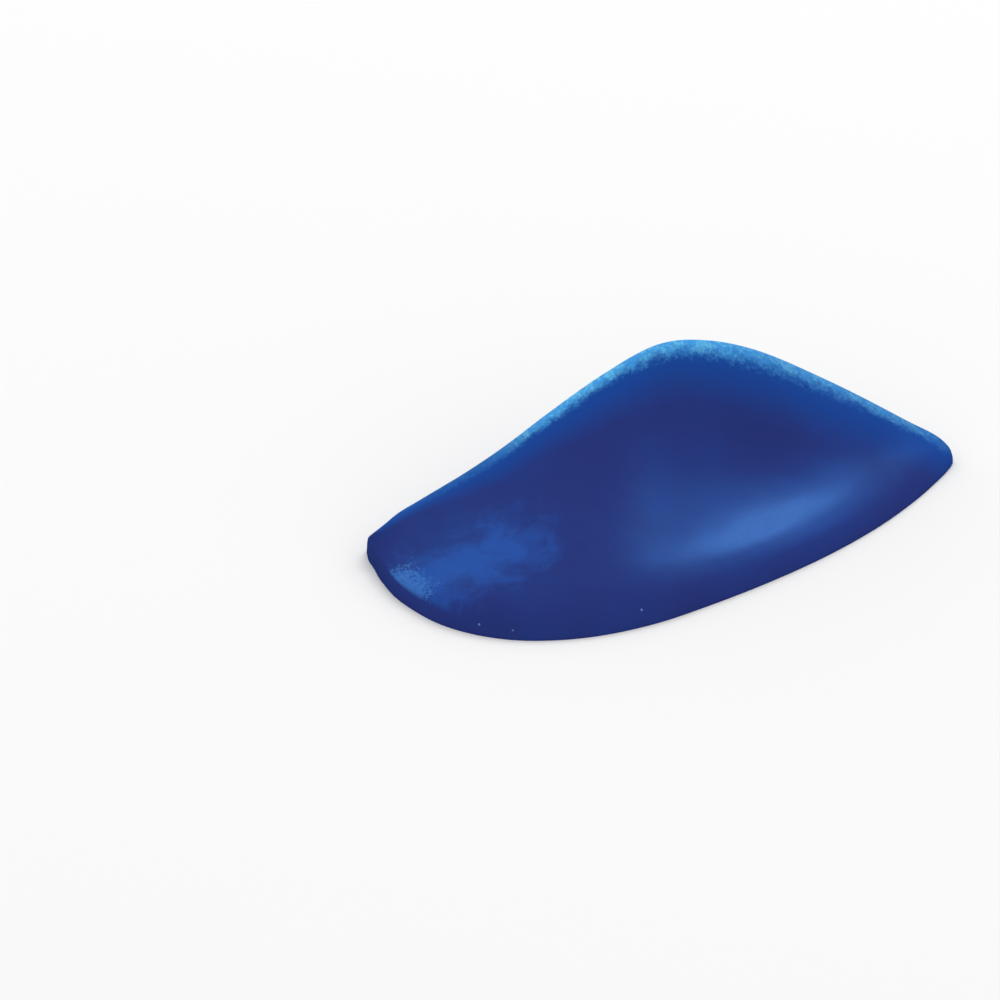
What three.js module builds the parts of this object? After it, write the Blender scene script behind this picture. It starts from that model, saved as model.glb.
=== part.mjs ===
// Scaphoid pad: one moulded piece of blue foam rubber that lies in a shoe under the inner arch of a foot.
// Millimetres, +Z up. +X runs from the wide end to the narrow end and +Y towards the raised inner rim.
// The pad is a thick curved plate. Its outer part lies flat, its inner part sweeps up to the rim,
// and the space under the raised part is open towards the inner side.
import * as THREE from 'three';

// Driving dimensions
const LIP = 0.6; // upright part of the outer edge, before it rounds over
const LIP_SHARE = 0.5; // most of the outer edge's height that the lip may take
const EDGE_HOLD = 0.6; // how closely the outer edge keeps to its corner, 0 to 1
const ARCH_BULGE = 14; // degrees by which the underside of the raised part bows out at each end

// Facets along the pad and round each part of a section
const LENGTH_STEPS = 66;
const BASE_STEPS = 3;
const ARCH_STEPS = 12;
const RIM_STEPS = 10;
const DISH_STEPS = 17;
const EDGE_STEPS = 6;

// Finish
const PAD_COLOUR = 0x26417f;
const PAD_ROUGHNESS = 0.42;

// Sections from the wide end's inner corner to the narrow tip. Each stands upright between a point of the
// outer edge and a point of the rim.
// edgeX, edgeY: foot of the outer edge. rimX, rimY: outermost point of the rim. rimZ: height of its crest.
// edge: height of the top at the outer edge. roll: width over which the outer edge rounds over.
// lean: slope of the flange in degrees. flange: how far the top keeps to it, as a share of the width.
// crown: slope of the top at the rim in degrees. brow: how far the top keeps to it, as a share of the width.
// nose: length of the rim's rounding. crisp: how closely it keeps to its corner, 0 to 1.
// undercut: how far short of the rim the flat base stops. It is below 0 where the base stands out beyond it.
const COLUMNS = [
  'edgeX', 'edgeY', 'rimX', 'rimY', 'rimZ', 'edge', 'roll',
  'lean', 'flange', 'crown', 'brow', 'nose', 'crisp', 'undercut',
];
const SECTIONS = [
  [-1.3, -5.4, -1.2, -4.8, 4.6, 4.2, 0.06, 20, 0.20, 20, 0.20, 0.12, 0.84, -3.7],
  [-1.1, -8.4, 2.1, -3.4, 5.9, 3.6, 0.7, 22, 0.34, 20, 0.26, 0.9, 0.84, -1.9],
  [-1.0, -13.4, 5.6, -1.3, 6.9, 3.5, 1.2, 14, 0.38, 14, 0.22, 1.4, 0.84, 0.9],
  [0.4, -21.4, 9.9, 0.3, 7.9, 3.6, 2.2, 9, 0.38, 13, 0.20, 1.8, 0.84, 3.1],
  [5.6, -31.8, 17.6, 1.8, 10.7, 5.0, 5.6, 8, 0.40, 18, 0.20, 2.3, 0.84, 7.6],
  [15.0, -39.3, 26.0, 3.3, 14.4, 6.3, 9.0, 12, 0.38, 24, 0.22, 2.8, 0.82, 12.8],
  [27.2, -42.3, 36.0, 5.7, 19.3, 6.9, 9.4, 18, 0.36, 26, 0.24, 3.2, 0.80, 16.6],
  [40.5, -41.2, 46.6, 7.9, 24.3, 6.8, 8.4, 20, 0.38, 28, 0.26, 3.6, 0.76, 18.3],
  [54.0, -36.9, 56.6, 8.9, 28.1, 6.2, 8.4, 15, 0.43, 37, 0.23, 4.2, 0.68, 17.9],
  [66.6, -31.8, 65.6, 8.5, 27.9, 5.8, 8.4, 12, 0.46, 42, 0.21, 4.6, 0.60, 16.1],
  [78.4, -26.0, 75.0, 8.0, 24.7, 5.6, 8.2, 14, 0.44, 40, 0.20, 4.6, 0.58, 14.0],
  [89.6, -19.1, 85.2, 8.2, 18.6, 5.5, 7.8, 19, 0.38, 32, 0.20, 4.3, 0.58, 11.3],
  [99.0, -11.8, 95.4, 7.8, 12.0, 5.1, 7.0, 21, 0.30, 22, 0.22, 3.6, 0.58, 7.8],
  [105.8, -5.4, 103.5, 5.9, 6.9, 4.0, 3.6, 30, 0.14, 18, 0.14, 2.4, 0.58, 3.9],
  [108.8, -2.2, 107.8, 3.6, 4.7, 2.9, 1.6, 32, 0.14, 16, 0.14, 1.4, 0.58, 1.4],
  [110.2, -0.3, 109.8, 1.7, 2.9, 2.0, 0.6, 34, 0.12, 18, 0.12, 0.5, 0.58, 0.33],
  [110.5, 0.5, 110.4, 0.8, 1.5, 1.2, 0.08, 30, 0.10, 18, 0.10, 0.07, 0.58, 0.04],
];

// Direction in a section at the given degrees above the level.
function heading(degrees) {
  const angle = THREE.MathUtils.degToRad(degrees);
  return new THREE.Vector2(Math.cos(angle), Math.sin(angle));
}

// Points of a smooth corner: it leaves start towards corner, and comes to end from it.
function roundedCorner(start, corner, end, hold, steps) {
  const leaving = start.clone().lerp(corner, hold);
  const arriving = end.clone().lerp(corner, hold);
  return new THREE.CubicBezierCurve(start, leaving, arriving, end).getPoints(steps);
}

// Points of the rim's nose, from the underside over the crest to the top.
function rimNose(row, width, underside) {
  const corner = new THREE.Vector2(width, row.rimZ);
  const start = corner.clone().addScaledVector(heading(underside), -row.nose);
  const end = corner.clone().addScaledVector(heading(row.crown), -row.nose);
  const points = roundedCorner(start, corner, end, row.crisp, RIM_STEPS);
  const outermost = Math.max(...points.map((point) => point.x));
  const highest = Math.max(...points.map((point) => point.y));
  const shift = corner.clone().sub(new THREE.Vector2(outermost, highest));
  return points.map((point) => point.add(shift));
}

// Points of the underside of the raised part. It bows out, so that it meets the rim's nose smoothly.
function archRun(foot, rim, underside) {
  const third = rim.distanceTo(foot) / 3;
  const leaving = foot.clone().addScaledVector(heading(underside - 2 * ARCH_BULGE), third);
  const arriving = rim.clone().addScaledVector(heading(underside), -third);
  return new THREE.CubicBezierCurve(foot, leaving, arriving, rim).getPoints(ARCH_STEPS);
}

// Points of the dished top, from the rim down to the flange.
function dishedTop(row, width, rim, shelf) {
  const leaving = rim.clone().addScaledVector(heading(row.crown), -row.brow * width);
  const arriving = shelf.clone().addScaledVector(heading(row.lean), row.flange * width);
  return new THREE.CubicBezierCurve(rim, leaving, arriving, shelf).getPoints(DISH_STEPS);
}

// Points of the outer edge, from the flange round to the lip.
function rolledEdge(row, shelf) {
  const lip = new THREE.Vector2(0, Math.min(LIP, row.edge * LIP_SHARE));
  const drop = row.roll * Math.tan(THREE.MathUtils.degToRad(row.lean));
  const corner = new THREE.Vector2(0, Math.max(row.edge - drop, lip.y));
  return roundedCorner(shelf, corner, lip, EDGE_HOLD, EDGE_STEPS);
}

// Closed outline of one section: x is the distance in from the outer edge, y the height.
function sectionOutline(row, width) {
  const foot = new THREE.Vector2(width - row.undercut, 0);
  const chord = THREE.MathUtils.radToDeg(Math.atan2(row.rimZ, row.undercut));
  const underside = chord + ARCH_BULGE;
  const nose = rimNose(row, width, underside);
  const arch = archRun(foot, nose[0], underside);
  const shelf = new THREE.Vector2(row.roll, row.edge);
  const dish = dishedTop(row, width, nose[nose.length - 1], shelf);
  const base = [];
  for (let step = 0; step < BASE_STEPS; step += 1) {
    base.push(new THREE.Vector2((foot.x * step) / BASE_STEPS, 0));
  }
  const edge = rolledEdge(row, shelf);
  return [...base, ...arch, ...nose.slice(1), ...dish.slice(1), ...edge.slice(1)];
}

// Section sizes at any place along the pad, 0 at the wide end's corner and 1 at the tip.
const rowAt = (() => {
  const places = SECTIONS.map((_, index) => index / (SECTIONS.length - 1));
  const values = new Float32Array(COLUMNS.length);
  const smooth = new THREE.CubicInterpolant(places, SECTIONS.flat(), COLUMNS.length, values);
  return (place) => {
    const sizes = smooth.evaluate(place);
    return Object.fromEntries(COLUMNS.map((column, index) => [column, sizes[index]]));
  };
})();

// One section's outline, stood up in place between its edge and its rim.
function sectionRing(place) {
  const row = rowAt(place);
  const edge = new THREE.Vector2(row.edgeX, row.edgeY);
  const inwards = new THREE.Vector2(row.rimX, row.rimY).sub(edge);
  const width = inwards.length();
  inwards.normalize();
  return sectionOutline(row, width).map((point) => new THREE.Vector3(
    edge.x + inwards.x * point.x,
    edge.y + inwards.y * point.x,
    point.y,
  ));
}

// Closed skin through all the sections, with a small fan over each end.
function padGeometry() {
  const rings = [];
  for (let step = 0; step <= LENGTH_STEPS; step += 1) {
    rings.push(sectionRing(step / LENGTH_STEPS));
  }
  const round = rings[0].length;
  const vertices = rings.flat();
  const triangles = [];
  for (let ring = 0; ring < LENGTH_STEPS; ring += 1) {
    for (let side = 0; side < round; side += 1) {
      const next = (side + 1) % round;
      const here = ring * round;
      const there = here + round;
      triangles.push(here + side, there + next, there + side);
      triangles.push(here + side, here + next, there + next);
    }
  }
  for (const ring of [0, LENGTH_STEPS]) {
    const centre = new THREE.Vector3();
    rings[ring].forEach((point) => centre.addScaledVector(point, 1 / round));
    const pole = vertices.push(centre) - 1;
    for (let side = 0; side < round; side += 1) {
      const here = ring * round + side;
      const next = ring * round + ((side + 1) % round);
      triangles.push(...(ring === 0 ? [pole, next, here] : [pole, here, next]));
    }
  }
  const geometry = new THREE.BufferGeometry().setFromPoints(vertices);
  geometry.setIndex(triangles);
  return geometry;
}

// Assembly: the pad's box stands centred over the origin.
const geometry = padGeometry();
geometry.computeBoundingBox();
const middle = geometry.boundingBox.getCenter(new THREE.Vector3());
geometry.translate(-middle.x, -middle.y, 0);
geometry.computeVertexNormals();

const foam = new THREE.MeshStandardMaterial({ color: PAD_COLOUR, roughness: PAD_ROUGHNESS, metalness: 0 });
const pad = new THREE.Mesh(geometry, foam);
pad.name = 'pad_body';

const scaphoidPad = new THREE.Group();
scaphoidPad.add(pad);

export default scaphoidPad;
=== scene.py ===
"""Scaphoid pad: the moulded pad's look, a pale floor, soft studio light and the camera.

Metres, in the part's frame.
"""

import math
from collections import namedtuple

import bmesh
import bpy
import numpy as np
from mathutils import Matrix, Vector, noise


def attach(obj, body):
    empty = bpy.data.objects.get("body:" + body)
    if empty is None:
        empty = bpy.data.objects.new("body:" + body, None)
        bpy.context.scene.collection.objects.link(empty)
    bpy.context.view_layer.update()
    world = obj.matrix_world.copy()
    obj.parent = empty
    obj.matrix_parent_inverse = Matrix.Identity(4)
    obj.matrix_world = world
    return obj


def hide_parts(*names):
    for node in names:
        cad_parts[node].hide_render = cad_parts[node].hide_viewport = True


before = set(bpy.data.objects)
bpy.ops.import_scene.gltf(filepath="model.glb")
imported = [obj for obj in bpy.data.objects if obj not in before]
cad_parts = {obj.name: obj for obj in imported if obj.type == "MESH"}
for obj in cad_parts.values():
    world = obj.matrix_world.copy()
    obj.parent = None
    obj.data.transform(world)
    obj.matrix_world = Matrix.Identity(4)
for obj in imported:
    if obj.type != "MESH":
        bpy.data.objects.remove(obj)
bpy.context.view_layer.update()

MM = 0.001

# Pad surface
WELD = 0.002 * MM  # corners nearer than this are one corner
BASE_HEIGHT = 0.01 * MM  # an edge below this lies on the ground
QUAD_BEND = math.radians(40)  # most bend across a pair of triangles that become one quad
QUAD_SKEW = math.radians(60)  # most by which a quad's corners may differ
SUBDIVISIONS = 2
SWELL_DEPTH = 0.08 * MM  # slow unevenness of the moulded surface
SWELL_LENGTH = 16 * MM
RIPPLE_DEPTH = 0.02 * MM  # quicker unevenness on top of it
RIPPLE_LENGTH = 4 * MM
UNEVEN_HEIGHTS = (0.3 * MM, 2.0 * MM)  # the unevenness grows from none to full between these heights

# Rim's crest
CREST_STEP = 1.5 * MM  # spacing of the places where it is measured
CREST_SPREAD = 2  # places to each side that are averaged
RIM_FACING = (-0.1, 0.45)  # upward parts of the normal between which the painted highlight and the buffing set in

# Rim's painted highlight, its buffed rougher skin and the painted glow below it, from the wide end to the tip
# along: place along the pad. width: of the band with painted highlight and buffed skin, from the crest.
# glow: width of the painted glow below it. strength: of the band's painted highlight and buffing, 0 to 1.
RimHighlightAndBuffing = namedtuple("RimHighlightAndBuffing", "along width glow strength")
RIM_HIGHLIGHT_AND_BUFFING = [
    RimHighlightAndBuffing(-55 * MM, 1.0 * MM, 1.0 * MM, 0.00),
    RimHighlightAndBuffing(-46 * MM, 1.2 * MM, 3.0 * MM, 0.05),
    RimHighlightAndBuffing(-32 * MM, 1.8 * MM, 8.0 * MM, 0.25),
    RimHighlightAndBuffing(-20 * MM, 1.7 * MM, 9.0 * MM, 1.00),
    RimHighlightAndBuffing(-8 * MM, 1.9 * MM, 11.0 * MM, 1.00),
    RimHighlightAndBuffing(8 * MM, 3.0 * MM, 13.0 * MM, 1.00),
    RimHighlightAndBuffing(22 * MM, 3.4 * MM, 15.0 * MM, 0.75),
    RimHighlightAndBuffing(34 * MM, 2.8 * MM, 16.0 * MM, 0.70),
    RimHighlightAndBuffing(46 * MM, 2.4 * MM, 13.0 * MM, 0.60),
    RimHighlightAndBuffing(55 * MM, 2.2 * MM, 10.0 * MM, 0.20),
]

# Patches of the wide end, each a rounded strip seen from above: a painted highlight and a worn band along the
# blunt end
# name: of its point attribute. start, end: ends of its middle line. reach: from that line to the border.
Patch = namedtuple("Patch", "name start end reach")
PATCHES = [
    Patch("wide_end_highlight", (-50.5 * MM, -6.5 * MM), (-35.0 * MM, -4.5 * MM), 8.6 * MM),
    Patch("blunt_end", (-54.0 * MM, -1.5 * MM), (-52.5 * MM, -7.5 * MM), 3.7 * MM),
]
PATCH_FACING = (0.45, 0.75)  # upward parts of the normal between which the painted highlight and the wear set in

# Specks in the skin
SPECK_RADIUS = 0.26 * MM
SPECK_CORE = 0.7  # share of the radius inside which a speck has its full colour
SPECKS = [
    (-44.1 * MM, -19.2 * MM, 2.0 * MM),
    (-38.9 * MM, -22.5 * MM, 1.8 * MM),
    (-15.6 * MM, -23.5 * MM, 2.8 * MM),
]

# Noises of the foam rubber, scale in waves per metre
Noise = namedtuple("Noise", "scale detail roughness distortion")
CLOUD = Noise(60, 5, 0.55, 0.0)
GRAIN = Noise(1300, 4, 0.6, 0.0)
SCRATCH = Noise(700, 5, 0.7, 0.0)
BLOTCH = Noise(190, 7, 0.62, 0.6)
FLECK = Noise(2200, 3, 0.7, 0.0)
BROAD = (0.25, 0.75)  # a noise's values that are used where it shifts a soft border
CLOSE = (0.3, 0.7)  # and where it has more contrast

# Borders of the painted rim highlight, the painted glow, the painted wide-end highlight and the worn skin:
# a noise shifts each of them to and fro, and each fades out across its fade.
# Both are in widths of the band or reaches of the patch.
BAND_SCRATCH = 0.30
BAND_FLECK = 0.16
BAND_FADE = (0.15, 1.45)
GLOW_FADE = (0.15, 1.0)
WIDE_END_HIGHLIGHT_BLOTCH = 0.50
WIDE_END_HIGHLIGHT_FADE = (0.00, 1.40)
WORN_SCRATCH = 0.4
WORN_FLECK = 0.5
WORN_FADE = (0.20, 1.00)

# Pale grain of the painted rim highlight: a noise gathers it in clusters
CLUSTER_BLOTCH = 0.12
CLUSTER_RANGE = (0.42, 0.68)

# Foam rubber
DEEP_BLUE = (0.0195, 0.029, 0.188, 1)
CLEAR_BLUE = (0.0175, 0.035, 0.220, 1)
# painted glow below the rim, standing in for sheen
GLOW_BLUE = (0.005, 0.062, 0.355, 1)
GLOW_SHARE = 0.85
# painted highlight on the wide end
WIDE_END_HIGHLIGHT_BLUE = (0.018, 0.085, 0.42, 1)
WIDE_END_HIGHLIGHT_SHARE = 0.75
# painted highlight on the rim's crest, paler in grainy clusters
RIM_HIGHLIGHT_BLUE = (0.055, 0.33, 0.77, 1)
PALE_RIM_HIGHLIGHT_BLUE = (0.13, 0.52, 0.85, 1)
WORN_BLUE = (0.040, 0.16, 0.53, 1)
WORN_SHARE = 0.85
SPECK_BLUE = (0.10, 0.20, 0.50, 1)
SKIN_ROUGHNESS = (0.31, 0.33)
BUFFED_ROUGHNESS = 0.6
GRAIN_HEIGHT = 0.015  # of the skin's grain, as a share of the scratches on the worn skin
BUMP_STRENGTH = 0.3
BUMP_DEPTH = 0.10 * MM
RUBBER_IOR = 1.5
GLOSS_TINT = (0.25, 0.75, 1.0, 1)
GLOSS_LEVEL = 0.3
SHEEN_TINT = (0.03, 0.35, 1.0, 1)
SHEEN_WEIGHT = 0.15
SHEEN_ROUGHNESS = 0.4

# Floor and room
FLOOR_HALF = 3.0
FLOOR_PAINT = (0.92, 0.92, 0.92, 1)
FLOOR_ROUGHNESS = 0.9
ROOM_STRENGTH = 0.88
WHITE = (1.0, 1.0, 1.0)
COOL = (0.11, 0.43, 1.0)
PALE = (0.22, 0.48, 1.0)
CYAN = (0.15, 0.70, 1.0)

# Lamps, all facing the pad
# turn: degrees to the picture's right of straight behind the pad. elevation: degrees. size: width and height.
# gloss_only: the lamp shows in the pad's gloss and gives no other light. The key does the opposite.
LAMP_DISTANCE = 2.4
Lamp = namedtuple("Lamp", "name turn elevation size watts colour gloss_only")
LAMPS = [
    Lamp("key", 15, 50, (1.6, 1.0), 14, WHITE, False),
    Lamp("flange_gloss", 45, 48, (0.9, 0.5), 6.4, COOL, True),
    Lamp("flange_core", 25, 48, (0.3, 0.2), 12, PALE, True),
    Lamp("wide_end_gloss", -8, 30, (0.4, 0.4), 7, COOL, True),
    Lamp("rim_gloss", 0, 14, (2.4, 0.6), 10, CYAN, True),
]

# Camera
CAMERA_TARGET = Vector((-27.21 * MM, 26.27 * MM, 0))
CAMERA_AZIMUTH = -16.03
CAMERA_ELEVATION = 29.18
CAMERA_DISTANCE = 1.541
CAMERA_LENS = 307.3
CAMERA_SENSOR = 36.0


def direction(azimuth, elevation):
    """Unit vector towards a place seen at these degrees: azimuth 0 is -Y, 90 is +X."""
    turn = math.radians(azimuth)
    rise = math.radians(elevation)
    return Vector((math.sin(turn) * math.cos(rise), -math.cos(turn) * math.cos(rise), math.sin(rise)))


def smooth_step(low, high, values):
    """0 below low, 1 above high, and an even change between."""
    share = np.clip((values - low) / (high - low), 0, 1)
    return share * share * (3 - 2 * share)


def smoothed_copy(node, name):
    """New object with the node's shape in quads, subdivided, and sharp where it meets the ground."""
    shape = bmesh.new()
    shape.from_mesh(node.data)
    bmesh.ops.remove_doubles(shape, verts=shape.verts, dist=WELD)
    bmesh.ops.join_triangles(
        shape, faces=shape.faces, angle_face_threshold=QUAD_BEND, angle_shape_threshold=QUAD_SKEW
    )
    crease = shape.edges.layers.float.new("crease_edge")
    for edge in shape.edges:
        on_ground = all(vertex.co.z < BASE_HEIGHT for vertex in edge.verts)
        flat_faces = [face for face in edge.link_faces if all(v.co.z < BASE_HEIGHT for v in face.verts)]
        if on_ground and len(flat_faces) == 1:
            edge[crease] = 1.0
    mesh = bpy.data.meshes.new(name)
    shape.to_mesh(mesh)
    shape.free()
    piece = bpy.data.objects.new(name, mesh)
    bpy.context.scene.collection.objects.link(piece)
    subdivision = piece.modifiers.new("smooth", "SUBSURF")
    subdivision.levels = SUBDIVISIONS
    subdivision.render_levels = SUBDIVISIONS
    bpy.context.view_layer.update()
    evaluated = piece.evaluated_get(bpy.context.evaluated_depsgraph_get())
    piece.data = bpy.data.meshes.new_from_object(evaluated)
    piece.data.name = name
    piece.modifiers.clear()
    piece.data.shade_smooth()
    return piece


def vertex_arrays(mesh):
    """Positions and normals of all the mesh's points."""
    places = np.empty(len(mesh.vertices) * 3)
    normals = np.empty(len(mesh.vertices) * 3)
    mesh.vertices.foreach_get("co", places)
    mesh.vertex_normals.foreach_get("vector", normals)
    return places.reshape(-1, 3), normals.reshape(-1, 3)


def roughen(mesh):
    """Moves the moulded skin in and out a little, and leaves the flat base alone."""
    places, normals = vertex_arrays(mesh)
    swell = np.array([noise.noise(Vector(place / SWELL_LENGTH)) for place in places])
    ripple = np.array([noise.noise(Vector(place / RIPPLE_LENGTH)) for place in places])
    free = smooth_step(*UNEVEN_HEIGHTS, places[:, 2])
    shift = (swell * SWELL_DEPTH + ripple * RIPPLE_DEPTH) * free
    mesh.vertices.foreach_set("co", (places + normals * shift[:, None]).ravel())
    mesh.update()


def gap_to_run(places, start, end):
    """Distance of each place from the straight run between two points."""
    run = end - start
    share = np.clip((places - start) @ run / (run @ run), 0, 1)
    return np.linalg.norm(places - start - share[:, None] * run, axis=1)


def crest_line(places):
    """Points along the rim's crest, from the wide end to the tip."""
    nearest = np.rint((places[:, 0] - places[:, 0].min()) / CREST_STEP).astype(int)
    slices = [places[nearest == step] for step in range(nearest.max() + 1)]
    crest = np.array([group[group[:, 2].argmax()] for group in slices if len(group)])
    spans = [slice(max(0, step - CREST_SPREAD), step + CREST_SPREAD + 1) for step in range(len(crest))]
    return np.array([crest[span].mean(axis=0) for span in spans])


def write_marks(mesh, marks):
    """Writes point attributes by name."""
    for name, values in marks.items():
        mesh.attributes.new(name, "FLOAT", "POINT").data.foreach_set("value", values.astype(np.float32))


def mark_rim(mesh):
    """Point attributes: rim_band and rim_glow, distances from the crest in their widths, and rim_strength."""
    places, normals = vertex_arrays(mesh)
    crest = crest_line(places)
    gap = np.min([gap_to_run(places, start, end) for start, end in zip(crest[:-1], crest[1:])], axis=0)
    rim_table = RimHighlightAndBuffing(*(np.array(column) for column in zip(*RIM_HIGHLIGHT_AND_BUFFING)))
    width = np.interp(places[:, 0], rim_table.along, rim_table.width)
    glow = np.interp(places[:, 0], rim_table.along, rim_table.glow)
    strength = np.interp(places[:, 0], rim_table.along, rim_table.strength) * smooth_step(*RIM_FACING, normals[:, 2])
    write_marks(mesh, {"rim_band": gap / width, "rim_glow": gap / glow, "rim_strength": strength})


def mark_patches(mesh):
    """Point attributes: upward on level skin, and each patch (the painted highlight and the worn band), 0 at
    its middle and 1 at its border.
    """
    places, normals = vertex_arrays(mesh)
    marks = {"upward": smooth_step(*PATCH_FACING, normals[:, 2])}
    for patch in PATCHES:
        gap = gap_to_run(places[:, :2], np.array(patch.start), np.array(patch.end))
        marks[patch.name] = gap / patch.reach
    write_marks(mesh, marks)


class Nodes:
    """Makes and links shader nodes of one material."""

    def __init__(self, name):
        self.material = bpy.data.materials.new(name)
        self.material.use_nodes = True
        self.tree = self.material.node_tree
        self.shader = self.tree.nodes["Principled BSDF"]

    def link(self, source, socket):
        self.tree.links.new(source, socket)

    def fill(self, socket, value):
        """Gives a socket a number or a colour, or links it."""
        if isinstance(value, (int, float, tuple)):
            socket.default_value = value
        else:
            self.link(value, socket)

    def attribute(self, name):
        node = self.tree.nodes.new("ShaderNodeAttribute")
        node.attribute_name = name
        return node.outputs["Fac"]

    def noise(self, place, kind):
        node = self.tree.nodes.new("ShaderNodeTexNoise")
        node.inputs["Scale"].default_value = kind.scale
        node.inputs["Detail"].default_value = kind.detail
        node.inputs["Roughness"].default_value = kind.roughness
        node.inputs["Distortion"].default_value = kind.distortion
        self.link(place, node.inputs["Vector"])
        return node.outputs["Fac"]

    def distance(self, place, point):
        node = self.tree.nodes.new("ShaderNodeVectorMath")
        node.operation = "DISTANCE"
        node.inputs[1].default_value = point
        self.link(place, node.inputs[0])
        return node.outputs["Value"]

    def range(self, value, low, high, to_low=0.0, to_high=1.0):
        node = self.tree.nodes.new("ShaderNodeMapRange")
        node.interpolation_type = "SMOOTHSTEP"
        for socket, number in zip(("From Min", "From Max", "To Min", "To Max"), (low, high, to_low, to_high)):
            node.inputs[socket].default_value = number
        self.link(value, node.inputs["Value"])
        return node.outputs["Result"]

    def math(self, kind, first, second):
        node = self.tree.nodes.new("ShaderNodeMath")
        node.operation = kind
        for socket, value in zip(node.inputs, (first, second)):
            self.fill(socket, value)
        return node.outputs["Value"]

    def shifted(self, value, noise_value, span, reach):
        """The value, moved to and fro by a noise."""
        return self.math("ADD", value, self.range(noise_value, *span, -reach, reach))

    def colour_mix(self, share, first, second):
        node = self.tree.nodes.new("ShaderNodeMix")
        node.data_type = "RGBA"
        self.link(share, node.inputs["Factor"])
        self.fill(node.inputs[6], first)
        self.fill(node.inputs[7], second)
        return node.outputs[2]

    def value_mix(self, share, first, second):
        node = self.tree.nodes.new("ShaderNodeMix")
        node.data_type = "FLOAT"
        self.link(share, node.inputs["Factor"])
        self.fill(node.inputs[2], first)
        self.fill(node.inputs[3], second)
        return node.outputs[0]


def foam_rubber():
    """Satin blue foam rubber: clouded colour, fine grain, a buffed rim with a painted highlight and a painted
    glow, and at the wide end a painted highlight and a worn band.
    """
    foam = Nodes("blue_foam_rubber")
    place = foam.tree.nodes.new("ShaderNodeTexCoord").outputs["Object"]
    upward = foam.attribute("upward")
    cloud = foam.noise(place, CLOUD)
    grain = foam.noise(place, GRAIN)
    scratch = foam.noise(place, SCRATCH)
    blotch = foam.noise(place, BLOTCH)
    fleck = foam.noise(place, FLECK)

    # Rim: a grainy band of painted highlight on buffed, rougher skin with a soft ragged border, and a painted
    # glow below it
    border = foam.shifted(foam.attribute("rim_band"), scratch, BROAD, BAND_SCRATCH)
    border = foam.shifted(border, fleck, BROAD, BAND_FLECK)
    rim_highlight_and_buffing = foam.math("MULTIPLY", foam.range(border, *BAND_FADE, 1, 0), foam.attribute("rim_strength"))
    glow = foam.math("MULTIPLY", foam.range(foam.attribute("rim_glow"), *GLOW_FADE, 1, 0), GLOW_SHARE)
    clustered = foam.range(foam.shifted(grain, blotch, CLOSE, CLUSTER_BLOTCH), *CLUSTER_RANGE)
    rim_highlight_colour = foam.colour_mix(clustered, RIM_HIGHLIGHT_BLUE, PALE_RIM_HIGHLIGHT_BLUE)

    # Painted highlight on the wide end, with a cloud-like border
    border = foam.shifted(foam.attribute("wide_end_highlight"), blotch, BROAD, WIDE_END_HIGHLIGHT_BLOTCH)
    wide_end_highlight_mask = foam.math("MULTIPLY", foam.range(border, *WIDE_END_HIGHLIGHT_FADE, 1, 0), upward)

    # Speckled wear along the blunt end
    border = foam.shifted(foam.attribute("blunt_end"), scratch, CLOSE, WORN_SCRATCH)
    border = foam.shifted(border, fleck, CLOSE, WORN_FLECK)
    worn = foam.math("MULTIPLY", foam.range(border, *WORN_FADE, 1, 0), upward)

    # Specks
    nearest = 1.0
    for point in SPECKS:
        nearest = foam.math("MINIMUM", foam.distance(place, point), nearest)
    speck = foam.range(nearest, SPECK_CORE * SPECK_RADIUS, SPECK_RADIUS, 1, 0)

    # Colour
    skin = foam.colour_mix(foam.range(cloud, *CLOSE), DEEP_BLUE, CLEAR_BLUE)
    # painted glow below the rim
    skin = foam.colour_mix(glow, skin, GLOW_BLUE)
    # painted highlight on the wide end
    skin = foam.colour_mix(foam.math("MULTIPLY", wide_end_highlight_mask, WIDE_END_HIGHLIGHT_SHARE), skin, WIDE_END_HIGHLIGHT_BLUE)
    skin = foam.colour_mix(foam.math("MULTIPLY", worn, WORN_SHARE), skin, WORN_BLUE)
    # painted highlight on the rim band
    skin = foam.colour_mix(rim_highlight_and_buffing, skin, rim_highlight_colour)
    skin = foam.colour_mix(speck, skin, SPECK_BLUE)
    foam.link(skin, foam.shader.inputs["Base Color"])

    # Roughness and relief
    rubbed = foam.math("MAXIMUM", rim_highlight_and_buffing, worn)
    rough = foam.value_mix(rubbed, foam.range(grain, *CLOSE, *SKIN_ROUGHNESS), BUFFED_ROUGHNESS)
    foam.link(rough, foam.shader.inputs["Roughness"])
    coarse = foam.math("MULTIPLY", scratch, rubbed)
    height = foam.math("ADD", foam.math("MULTIPLY", grain, GRAIN_HEIGHT), coarse)
    bump = foam.tree.nodes.new("ShaderNodeBump")
    bump.inputs["Strength"].default_value = BUMP_STRENGTH
    bump.inputs["Distance"].default_value = BUMP_DEPTH
    foam.link(height, bump.inputs["Height"])
    foam.link(bump.outputs["Normal"], foam.shader.inputs["Normal"])

    # Gloss and sheen
    foam.shader.inputs["IOR"].default_value = RUBBER_IOR
    foam.shader.inputs["Specular IOR Level"].default_value = GLOSS_LEVEL
    foam.shader.inputs["Specular Tint"].default_value = GLOSS_TINT
    foam.shader.inputs["Sheen Weight"].default_value = SHEEN_WEIGHT
    foam.shader.inputs["Sheen Roughness"].default_value = SHEEN_ROUGHNESS
    foam.shader.inputs["Sheen Tint"].default_value = SHEEN_TINT
    return foam.material


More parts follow.
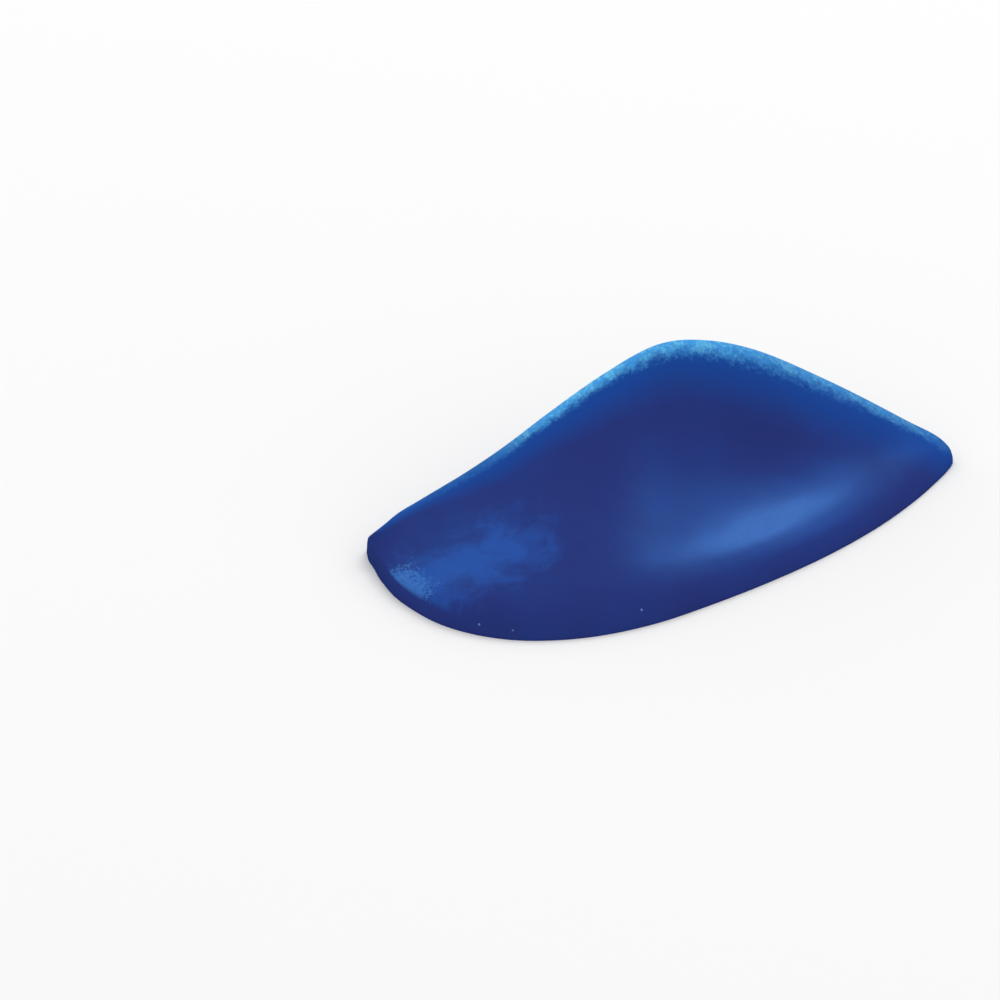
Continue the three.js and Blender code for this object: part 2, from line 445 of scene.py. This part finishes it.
def floor():
    """A plain pale floor, far larger than the view, that the pad's gloss doesn't show."""
    paint = Nodes("pale_floor")
    paint.shader.inputs["Base Color"].default_value = FLOOR_PAINT
    paint.shader.inputs["Roughness"].default_value = FLOOR_ROUGHNESS
    paint.shader.inputs["Specular IOR Level"].default_value = 0.0
    corners = [(x * FLOOR_HALF, y * FLOOR_HALF, 0) for x, y in ((-1, -1), (1, -1), (1, 1), (-1, 1))]
    mesh = bpy.data.meshes.new("floor")
    mesh.from_pydata(corners, [], [(0, 1, 2, 3)])
    mesh.materials.append(paint.material)
    ground = bpy.data.objects.new("floor", mesh)
    ground.visible_glossy = False
    bpy.context.scene.collection.objects.link(ground)


def hang(lamp):
    """Puts up one soft lamp, oval if it shows in the gloss."""
    light = bpy.data.lights.new(lamp.name, "AREA")
    light.shape = "ELLIPSE" if lamp.gloss_only else "RECTANGLE"
    light.size, light.size_y = lamp.size
    light.energy = lamp.watts
    light.color = lamp.colour
    stand = bpy.data.objects.new(lamp.name, light)
    towards = direction(CAMERA_AZIMUTH + 180 - lamp.turn, lamp.elevation)
    stand.location = towards * LAMP_DISTANCE
    stand.rotation_euler = towards.to_track_quat("Z", "Y").to_euler()
    stand.visible_diffuse = not lamp.gloss_only
    stand.visible_glossy = lamp.gloss_only
    bpy.context.scene.collection.objects.link(stand)


def studio():
    """Even white room light that the gloss doesn't show, and the lamps."""
    world = bpy.data.worlds.new("room")
    world.use_nodes = True
    backdrop = world.node_tree.nodes["Background"]
    backdrop.inputs["Strength"].default_value = ROOM_STRENGTH
    backdrop.inputs["Color"].default_value = (*WHITE, 1)
    bpy.context.scene.world = world
    world.cycles_visibility.glossy = False
    for lamp in LAMPS:
        hang(lamp)
    bpy.context.scene.view_settings.view_transform = "Standard"


def camera():
    """The photograph's view."""
    lens = bpy.data.cameras.new("camera")
    lens.lens = CAMERA_LENS
    lens.sensor_width = CAMERA_SENSOR
    eye = bpy.data.objects.new("camera", lens)
    back = direction(CAMERA_AZIMUTH, CAMERA_ELEVATION)
    eye.location = CAMERA_TARGET + back * CAMERA_DISTANCE
    eye.rotation_euler = back.to_track_quat("Z", "Y").to_euler()
    bpy.context.scene.collection.objects.link(eye)
    bpy.context.scene.camera = eye


pad = smoothed_copy(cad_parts["pad_body"], "scaphoid_pad")
roughen(pad.data)
mark_rim(pad.data)
mark_patches(pad.data)
pad.data.materials.clear()
pad.data.materials.append(foam_rubber())
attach(pad, "root")
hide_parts("pad_body")

floor()
studio()
camera()
